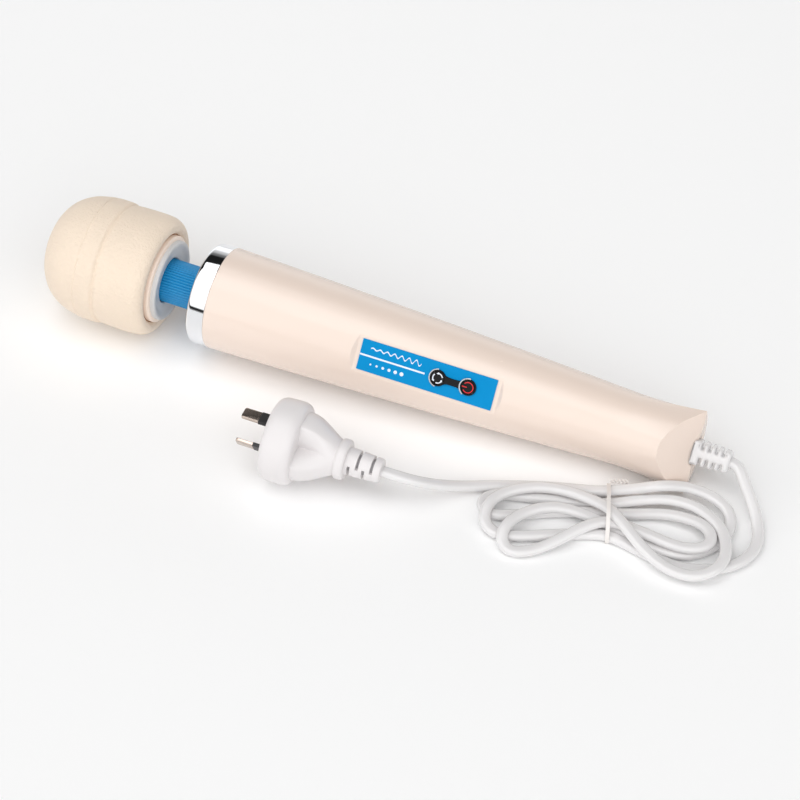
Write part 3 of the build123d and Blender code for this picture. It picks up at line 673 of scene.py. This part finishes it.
def ribbed_half(name, x0, x1):
    """Half of the neck: rounded ribs along it, and a plain bore."""
    per_rib, rows = 8, 22
    segments = RIBS * per_rib
    verts = []
    for i in range(rows + 1):
        x = x0 + (x1 - x0) * i / rows
        for j in range(segments):
            angle = 2 * math.pi * j / segments
            wave = 0.5 - 0.5 * math.cos(2 * math.pi * j / per_rib)
            radius = NECK_RADIUS - 0.55 * (1 - wave) ** 2.2
            verts.append((x, radius * math.sin(angle), radius * math.cos(angle)))
    for i in range(rows, -1, -1):
        x = x0 + (x1 - x0) * i / rows
        for j in range(segments):
            angle = 2 * math.pi * j / segments
            verts.append((x, NECK_BORE * math.sin(angle), NECK_BORE * math.cos(angle)))
    faces = quads(2 * (rows + 1), segments, closed=True)
    piece = mesh_piece(name, verts, faces, "blue_rubber", WAND, sharp=60)
    return piece


# The neck in two halves, one from the handle to its middle and one from its middle to the head
neck_rear = ribbed_half("neck_ribs_rear", NECK_MIDDLE, -3.0)
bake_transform(neck_rear)
neck_front = ribbed_half("neck_ribs_front", HEAD_X - 37.5, NECK_MIDDLE)
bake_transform(neck_front)
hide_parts("neck_sleeve")
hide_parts("neck_sleeve")


# ---------------------------------------------------------------- control panel

LABEL_HALF_LENGTH, LABEL_HALF_WIDTH, LABEL_TOP = 33.25, 7.5, 0.5
MODE_X, POWER_X = 5.6, 20.5
LOBE_RADIUS, BRIDGE_HALF, BUTTON_RADIUS = 3.85, 1.55, 3.15
SURROUND_TOP, BUTTON_TOP = 1.2, 1.3
PRINT, PRINT_EDGE = 0.03, 0.008


def dumbbell(grow):
    """Two round lobes and a waisted bridge, as one outline."""
    middle = (MODE_X + POWER_X) / 2
    radius, half = LOBE_RADIUS + grow, BRIDGE_HALF + grow
    join = 34
    right = [(POWER_X + radius * math.cos(math.radians(a)), radius * math.sin(math.radians(a)))
             for a in range(-180 + join, 181 - join, 8)]
    top = [(middle + u, half + 0.55 * (abs(u) / 4.4) ** 3) for u in (3.4, 1.7, 0.0, -1.7, -3.4)]
    left = [(2 * middle - x, -y) for x, y in right]
    bottom = [(2 * middle - x, -y) for x, y in top]
    return right + top + left + bottom


label_outline = rounded_corners(
    [(-LABEL_HALF_LENGTH, -LABEL_HALF_WIDTH), (LABEL_HALF_LENGTH, -LABEL_HALF_WIDTH),
     (LABEL_HALF_LENGTH, LABEL_HALF_WIDTH), (-LABEL_HALF_LENGTH, LABEL_HALF_WIDTH)], 0.3)
label = plate("label", [label_outline, dumbbell(0.05)], 0.02, LABEL_TOP, 0.08, "blue_label", PANEL)
finish_piece(label, "handle", "blue_label", "control_label")

surround = plate(
    "surround",
    [dumbbell(0), circle(MODE_X, 0, BUTTON_RADIUS + 0.1), circle(POWER_X, 0, BUTTON_RADIUS + 0.1)],
    -0.2, SURROUND_TOP, 0.18, "black_gloss", PANEL)
finish_piece(surround, "handle", "black_gloss", "switch_surround")


# Bright metal crescents on the head's side of each lobe, where the rims catch the light: part real rim, part
# painted highlight, the power lobe's one laid over the bridge where only its glint is. Name, place, first and
# last angle, top
RIM_GLINTS = (("rim_glint_mode", MODE_X, 96, 264, 1.0), ("rim_glint_power", POWER_X, 84, 244, 1.32))
RIM_RADIUS, RIM_WIDTH = LOBE_RADIUS + 0.3, 0.7
for glint_name, x, start, end, top in RIM_GLINTS:
    crescent = moved(ring_sector(RIM_RADIUS, RIM_WIDTH, start, end, 60), x)
    piece = plate(glint_name, [crescent], LABEL_TOP - 0.05, top, 0.2, "bright_rim", PANEL)
    finish_piece(piece, "handle", "bright_rim", "button_rims")


def printed(name, loops, low, material, body):
    """Ink on a surface, a hair proud of it."""
    for i, loop in enumerate(loops):
        piece = plate(f"{name}_{i}", [loop], low, low + PRINT, PRINT_EDGE, material, PANEL)
        finish_piece(piece, body, "bright_rim" if material == "white_print" else "black_gloss")


LINE_START, LINE_END, LINE_HALF = -LABEL_HALF_LENGTH + 0.1, -1.0, 0.42
line = [(LINE_START, -LINE_HALF), (LINE_END, -LINE_HALF), (LINE_END, LINE_HALF), (LINE_START, LINE_HALF)]
printed("label_line", [line], LABEL_TOP, "white_print", "handle")


def growing_wave(x0, x1, y, height, thickness):
    """A wavy stroke that gets taller: a plain sign for stronger vibration."""
    top, bottom = [], []
    steps = 90
    for i in range(steps + 1):
        t = i / steps
        x = x0 + (x1 - x0) * t
        centre = y + height * (0.25 + 0.75 * t) * math.sin(2 * math.pi * 7 * t)
        top.append((x, centre + thickness / 2))
        bottom.append((x, centre - thickness / 2))
    return top + bottom[::-1]


printed("wave_mark", [growing_wave(-28.5, -3.5, 3.9, 1.25, 0.62)], LABEL_TOP, "white_print", "handle")
dots = [circle(-27.0 + 3.1 * i, -3.6, 0.45 + 0.1 * i, 24) for i in range(6)]
printed("dot_mark", dots, LABEL_TOP, "white_print", "handle")


def button(name, x, body, node):
    """A shallow domed cap in its hole."""
    cap = rounded_corners([(-1.5, 0.0, 0), (-1.5, BUTTON_RADIUS, 0.1), (BUTTON_TOP - 0.1, BUTTON_RADIUS, 0.4),
                           (BUTTON_TOP, 2.2, 0.4), (BUTTON_TOP, 0.0, 0)], 0.2, steps=4)
    turn = Matrix(((0, 1, 0, x), (0, 0, 1, 0), (1, 0, 0, 0), (0, 0, 0, 1)))
    piece = lathe(name, cap, "black_gloss", PANEL @ turn, segments=64, sharp=60)
    return finish_piece(piece, body, "black_gloss", node)


button("cap_mode", MODE_X, "mode_key", "mode_button")
button("cap_power", POWER_X, "power_key", "power_button")


def arrow_arc(radius, width, start, end):
    """A curved arrow: a bar of a ring with a pointed head."""
    base, head_reach = end - 26, width * 1.15
    bar = ring_sector(radius, width, start, base, 16)
    half = len(bar) // 2
    corners = ((radius + head_reach, base), (radius, end), (radius - head_reach, base))
    head = [(r * math.cos(math.radians(a)), r * math.sin(math.radians(a))) for r, a in corners]
    return bar[:half] + head + bar[half:]


arrows = [moved(arrow_arc(2.3, 0.52, 120 * i + 20, 120 * i + 116), MODE_X) for i in range(3)]
printed("mode_sign", arrows, BUTTON_TOP, "white_print", "mode_key")
power_ring = moved(ring_sector(2.45, 0.46, 218, 502, 48), POWER_X)
power_bar = moved([(-2.9, -0.23), (-0.5, -0.23), (-0.5, 0.23), (-2.9, 0.23)], POWER_X)
printed("power_sign", [power_ring, power_bar], BUTTON_TOP, "red_print", "power_key")


# ---------------------------------------------------------------- strain reliefs

def comb_outline(x0, x1, base, tip, slot_width, slots):
    """A tapered bar with slots cut in from its sides: (distance, side, how far from the axis each ends)."""
    def half_width(x):
        return (base + (tip - base) * (x - x0) / (x1 - x0)) / 2

    def edge(side):
        line = [(x0, side * half_width(x0), 0.3)]
        for x, slot_side, end in slots:
            if slot_side == side:
                a, b = x - slot_width / 2, x + slot_width / 2
                line += [(a, side * half_width(a), 0.6), (a, side * end, slot_width * 0.45),
                         (b, side * end, slot_width * 0.45), (b, side * half_width(b), 0.6)]
        return line + [(x1, side * half_width(x1), 1.4)]

    return rounded_corners(edge(-1) + edge(1)[::-1], 0.4, steps=4)


def slotted_sleeve(name, profile, core, slot_width, slots, material, matrix):
    """A round tapered sleeve with slots cut down to its core from two sides, like a comb's."""
    def full_radius(x):
        for (x0, r0), (x1, r1) in zip(profile, profile[1:]):
            if x <= x1:
                return r0 + (r1 - r0) * (x - x0) / (x1 - x0)
        return profile[-1][1]

    step, gap, edge = 4, 0.02, 0.2
    rows = [(x, None) for x, _ in profile]
    for slot in slots:
        x, half = slot[0], slot_width / 2
        rows += [(x - half - gap, None), (x - half, slot), (x + half, slot), (x + half + gap, None)]
    rows.sort(key=lambda row: row[0])
    columns = set(range(0, 360, step))
    edges = {}
    for slot in slots:
        x, side, end = slot
        spread = math.degrees(math.acos(end / full_radius(x)))
        edges[slot] = (spread, 0 if side > 0 else 180)
        for sign in (1, -1):
            columns |= {(edges[slot][1] + sign * (spread + d)) % 360 for d in (0, edge)}
    columns = sorted(columns)
    verts = []
    for x, slot in rows:
        for angle in columns:
            radius = full_radius(x)
            if slot:
                spread, middle = edges[slot]
                away = abs((angle - middle + 180) % 360 - 180)
                radius = core if away <= spread + edge / 2 else radius
            turn = math.radians(angle)
            verts.append((x, radius * math.cos(turn), radius * math.sin(turn)))
    count = len(columns)
    faces = quads(len(rows), count)
    faces += [tuple(range(count))[::-1], tuple(range(len(verts) - count, len(verts)))]
    return mesh_piece(name, verts, faces, material, matrix, sharp=35)


SLOT_WIDTH, SLOT_SPACING, RELIEF_HALF_HEIGHT = 1.35, 3.3, 4.1
relief_slots = [(TAIL_X + 2.9 + SLOT_SPACING * i, side, 2.0) for i in range(4) for side in (1, -1)]
relief_outline = comb_outline(TAIL_X - 2.2, TAIL_X + RELIEF_LENGTH, 11.9, 9.8, SLOT_WIDTH, relief_slots)
relief = plate(
    "cord_relief", [relief_outline], -RELIEF_HALF_HEIGHT, RELIEF_HALF_HEIGHT, 1.3, "white_rubber", WAND)
finish_piece(relief, "handle", "white_rubber", "strain_relief")

PIN_LINE = math.radians(57.0)
FLANGE_RADIUS, FLANGE_FRONT, FLANGE_REAR = 20.0, -9.0, 6.8
PLUG_NECK_X, PLUG_RELIEF_X = 25.5, 29.0
PLUG_ROLLED = PLUG @ Matrix.Rotation(PIN_LINE, 4, "X")
PLUG_CORE, SLEEVE_CORE = 4.3, 4.2

plug_slots = [(31.4, -1, 0.9), (35.2, 1, -1.6), (38.4, -1, 0.9), (41.9, 1, -1.6)]
plug_sleeve = [(PLUG_RELIEF_X, 6.7), (PLUG_END_X - 1.1, 5.75), (PLUG_END_X - 0.3, 5.4), (PLUG_END_X, 4.6)]
plug_comb = slotted_sleeve(
    "plug_slotted_end", plug_sleeve, SLEEVE_CORE, SLOT_WIDTH, plug_slots, "white_plug", PLUG_ROLLED)
finish_piece(plug_comb, "handle", "white_plug", "plug_relief")
# A grey rod inside the slotted sleeve, showing at the bottom of each slot: painted shade for the slots'
# shadowed insides.
plug_core = lathe(
    "plug_core",
    [(PLUG_RELIEF_X, 0), (PLUG_RELIEF_X, PLUG_CORE), (PLUG_END_X - 2, PLUG_CORE), (PLUG_END_X - 2, 0)],
    "slot_shade_grey", PLUG, segments=48)
finish_piece(plug_core, "handle", "white_plug", "plug_relief")


# ---------------------------------------------------------------- plug

def smooth_step(low, high, value):
    """Rises smoothly from 0 to 1 between two values."""
    t = min(max((value - low) / (high - low), 0.0), 1.0)
    return t * t * (3 - 2 * t)


GRIP_RADIUS, GRIP_TAPER, GRIP_BULGE = 16.3, 8.3, 2.2
POCKET_ANGLE, POCKET_HALF_ANGLE, POCKET_DEPTH = 80, 36, 0.62


def grip_radius(x, angle):
    """The grip narrows to its neck, with a finger pocket on each broad side."""
    t = (x - FLANGE_REAR) / (PLUG_NECK_X - FLANGE_REAR)
    radius = GRIP_RADIUS - GRIP_TAPER * t + GRIP_BULGE * math.sin(math.pi * t) * (1 - t)
    away = abs((angle - POCKET_ANGLE + 90) % 180 - 90)
    pocket = max(0.0, 1 - math.hypot(away, 3) / POCKET_HALF_ANGLE)
    depth = POCKET_DEPTH * (1 - smooth_step(0.15, 1.0, t))
    return radius * (1 - depth * pocket)


def plug_grip():
    """The moulded grip, its ends sunk into the flange and the collar."""
    rows, segments = 30, 120
    verts = []
    for i in range(rows + 1):
        x = FLANGE_REAR - 1 + (PLUG_NECK_X + 2 - FLANGE_REAR) * i / rows
        inside = min(max(x, FLANGE_REAR), PLUG_NECK_X)
        for j in range(segments):
            angle = 360 * j / segments
            radius = grip_radius(inside, angle)
            turn = math.radians(angle)
            verts.append((x, radius * math.cos(turn), radius * math.sin(turn)))
    faces = quads(rows + 1, segments)
    faces += [tuple(range(segments)), tuple(range(rows * segments, (rows + 1) * segments))]
    return mesh_piece("plug_grip", verts, faces, "white_plug", PLUG_ROLLED, sharp=60)


grip = plug_grip()
finish_piece(grip, "handle", "white_plug", "plug_body")
plug_flange_profile = rounded_corners(
    [(FLANGE_FRONT, 0.0, 0), (FLANGE_FRONT, FLANGE_RADIUS - 0.4, 5.0),
     (FLANGE_REAR - 3.4, FLANGE_RADIUS, 1.6), (FLANGE_REAR - 0.4, 18.6, 1.8),
     (FLANGE_REAR, 14.5, 0.6), (FLANGE_REAR, 0.0, 0)],
    0.5, steps=8)
flange = lathe("plug_flange", plug_flange_profile, "white_plug", PLUG, segments=128, sharp=70)
finish_piece(flange, "handle", "white_plug", "plug_body")
collar_ring = rounded_corners(
    [(PLUG_NECK_X - 1.6, 7.0, 0), (PLUG_NECK_X - 0.6, 9.6, 1.8), (PLUG_RELIEF_X + 0.4, 9.6, 1.9),
     (PLUG_RELIEF_X + 0.4, 6.0, 0)], 1.0, 8)
plug_collar = lathe("plug_collar", collar_ring, "white_plug", PLUG, segments=96, sharp=70)
finish_piece(plug_collar, "handle", "white_plug", "plug_body")

PIN_HALF_SPACING, PIN_LEAN = 6.85, 30.0
PIN_LENGTH, PIN_HALF_WIDTH, PIN_HALF_THICKNESS = 14.8, 3.175, 0.8
SLEEVE_LENGTH, SLEEVE_WALL = 6.4, 0.15
plug_pieces = []
for pin_name, side in (("upper", 1), ("lower", -1)):
    turn = Matrix.Rotation(math.radians(90 + side * PIN_LEAN), 4, "X")
    place = PLUG_ROLLED @ Matrix.Translation((FLANGE_FRONT, side * PIN_HALF_SPACING, 0)) @ turn
    blade = [(-PIN_LENGTH, -PIN_HALF_WIDTH, 1.2), (0.5, -PIN_HALF_WIDTH, 0.1), (0.5, PIN_HALF_WIDTH, 0.1),
             (-PIN_LENGTH, PIN_HALF_WIDTH, 1.2)]
    pin = plate(
        f"pin_{pin_name}", [rounded_corners(blade, 0.3)], -PIN_HALF_THICKNESS, PIN_HALF_THICKNESS, 0.3,
        "pin_metal", place)
    finish_piece(pin, "handle", "pin_metal", "plug_pins")
    half = PIN_HALF_WIDTH + SLEEVE_WALL
    wrap = [(-SLEEVE_LENGTH, -half), (0.5, -half), (0.5, half), (-SLEEVE_LENGTH, half)]
    sleeve = plate(
        f"pin_sleeve_{pin_name}", [rounded_corners(wrap, SLEEVE_WALL)],
        -PIN_HALF_THICKNESS - SLEEVE_WALL, PIN_HALF_THICKNESS + SLEEVE_WALL, SLEEVE_WALL,
        "black_plastic", place)
    finish_piece(sleeve, "handle", "black_plastic", "pin_sleeves")
    plug_pieces += [pin, sleeve]


# ---------------------------------------------------------------- tie

TIE_PLACE, TIE_ANGLE = (137.3, -39.5), 18.0
TIE_HALF_SPAN = 16.4


def tie_ribbon():
    """A coated wire ribbon bent round the hank, its two ends twisted together on top."""
    turn = Matrix.Rotation(math.radians(TIE_ANGLE), 4, "Z")
    place = Matrix.Translation((TIE_PLACE[0] * MM, TIE_PLACE[1] * MM, 0)) @ turn @ Matrix.Scale(MM, 4)
    loop = rounded_corners(
        [(-TIE_HALF_SPAN, 0.45, 1.5), (TIE_HALF_SPAN, 0.45, 1.5), (TIE_HALF_SPAN + 0.2, 5.2, 2.5),
         (12.5, 7.8, 3), (4.5, 11.4, 4), (-3.0, 12.6, 4), (-9.0, 12.2, 4), (-14.4, 7.4, 4),
         (-TIE_HALF_SPAN, 3.4, 2)], 2.0, steps=6)
    half_width, half_thickness, steps = 0.9, 0.35, len(loop)
    verts = []
    for i, (v, z) in enumerate(loop):
        before, after = Vector(loop[i - 1]), Vector(loop[(i + 1) % steps])
        ahead = (after - before).normalized()
        out = Vector((ahead.y, -ahead.x)) * half_thickness
        for u, sign in ((-half_width, 1), (half_width, 1), (half_width, -1), (-half_width, -1)):
            verts.append((u, v + sign * out.x, max(z + sign * out.y, 0.05)))
    ribbon = mesh_piece("tie_ribbon", verts, quads(steps, 4, closed=True), "tie_white", place, sharp=50)
    return ribbon, place


def tie_twist(place):
    """The two twisted ends, lying on the hank beside the loop."""
    length, turns, rows, around = 8.5, 2.5, 72, 8
    verts, faces = [], []
    for strand in (0, 1):
        start = len(verts)
        for i in range(rows + 1):
            t = i / rows
            angle = 2 * math.pi * turns * t + math.pi * strand
            centre = Vector((0.6 + length * t, TIE_HALF_SPAN + 0.1 - 0.5 * t, 6.6 + 0.9 * t))
            centre += Vector((0, 0.7 * math.cos(angle), 0.7 * math.sin(angle)))
            for j in range(around):
                turn = 2 * math.pi * j / around
                verts.append(tuple(centre + Vector((0, 0.55 * math.cos(turn), 0.55 * math.sin(turn)))))
        faces += quads(rows + 1, around, start)
        faces.append(tuple(range(start, start + around)))
        faces.append(tuple(range(len(verts) - around, len(verts))))
    return mesh_piece("tie_twist", verts, faces, "tie_white", place, sharp=60)


ribbon, tie_place = tie_ribbon()
twist = tie_twist(tie_place)
finish_piece(ribbon, "handle", "tie_white", "cord_tie")
finish_piece(twist, "handle", "tie_white", "cord_tie")

finish_piece(cord, "handle", "white_rubber", "cord_lead", "cord_hank", "cord_plug_lead")


# ---------------------------------------------------------------- CAD nodes that stay

slots = {part["node"]: part["material_slot"] for part in frame["record"]["subparts"]}
for node, piece in frame["nodes"].items():
    piece.data.materials.clear()
    piece.data.materials.append(MATERIALS[slots[node]])


# ---------------------------------------------------------------- floor and light

def make_floor():
    material = surface("floor", (0.98, 0.98, 0.98), 0.75, vary=0.002)
    mesh = bpy.data.meshes.new("floor")
    half, drop = 4.0, 0.0002
    corners = [(-half, -half, 0), (half, -half, 0), (half, half, 0), (-half, half, 0)]
    mesh.from_pydata(corners, [], [(0, 1, 2, 3)])
    mesh.materials.append(material)
    floor = bpy.data.objects.new("floor", mesh)
    floor.location.z = -drop
    bpy.context.collection.objects.link(floor)


def make_world():
    """A soft studio in bands: bright over the front, dark past the top, bright again low at the back.

    The chrome ring mirrors the bands."""
    world = bpy.data.worlds.new("studio")
    bpy.context.scene.world = world
    world.use_nodes = True
    nodes, links = world.node_tree.nodes, world.node_tree.links
    place = nodes.new("ShaderNodeTexCoord")
    split = nodes.new("ShaderNodeSeparateXYZ")
    links.new(place.outputs["Generated"], split.inputs[0])
    back = nodes.new("ShaderNodeMath")
    back.operation = "MULTIPLY"
    back.inputs[1].default_value = -1.0
    links.new(split.outputs["Y"], back.inputs[0])
    angle = nodes.new("ShaderNodeMath")
    angle.operation = "ARCTAN2"
    links.new(split.outputs["Z"], angle.inputs[0])
    links.new(back.outputs[0], angle.inputs[1])
    share = nodes.new("ShaderNodeMapRange")
    share.inputs["From Max"].default_value = math.pi
    links.new(angle.outputs[0], share.inputs["Value"])
    ramp = nodes.new("ShaderNodeValToRGB")
    ramp.color_ramp.interpolation = "EASE"
    stops = [(0.0, 0.35), (0.012, 0.02), (0.035, 0.01), (0.05, 1.0), (0.53, 1.0), (0.545, 0.015),
             (0.75, 0.01), (0.79, 0.14), (0.85, 0.5), (0.91, 1.0), (1.0, 1.0)]
    ramp.color_ramp.elements[0].position, ramp.color_ramp.elements[1].position = stops[0][0], stops[-1][0]
    for position, _ in stops[1:-1]:
        ramp.color_ramp.elements.new(position)
    for element, (_, value) in zip(ramp.color_ramp.elements, stops):
        element.color = (value, value, value, 1)
    links.new(share.outputs["Result"], ramp.inputs[0])
    background = nodes["Background"]
    background.inputs["Strength"].default_value = 1.25
    links.new(ramp.outputs[0], background.inputs["Color"])


def area_light(name, place, size, power):
    """A rectangular lamp that looks at the middle of the row frame."""
    data = bpy.data.lights.new(name, "AREA")
    data.shape = "RECTANGLE"
    data.size, data.size_y = size
    data.energy = power
    light = bpy.data.objects.new(name, data)
    light.location = place
    light.rotation_euler = (-Vector(place)).to_track_quat("-Z", "Y").to_euler()
    bpy.context.collection.objects.link(light)


make_floor()
make_world()
area_light("key", (-0.3, -0.1, 1.5), (1.6, 0.6), 4.3)
area_light("fill", (0.9, -1.3, 0.9), (1.0, 1.0), 2.5)
bpy.context.scene.view_settings.view_transform = "Standard"
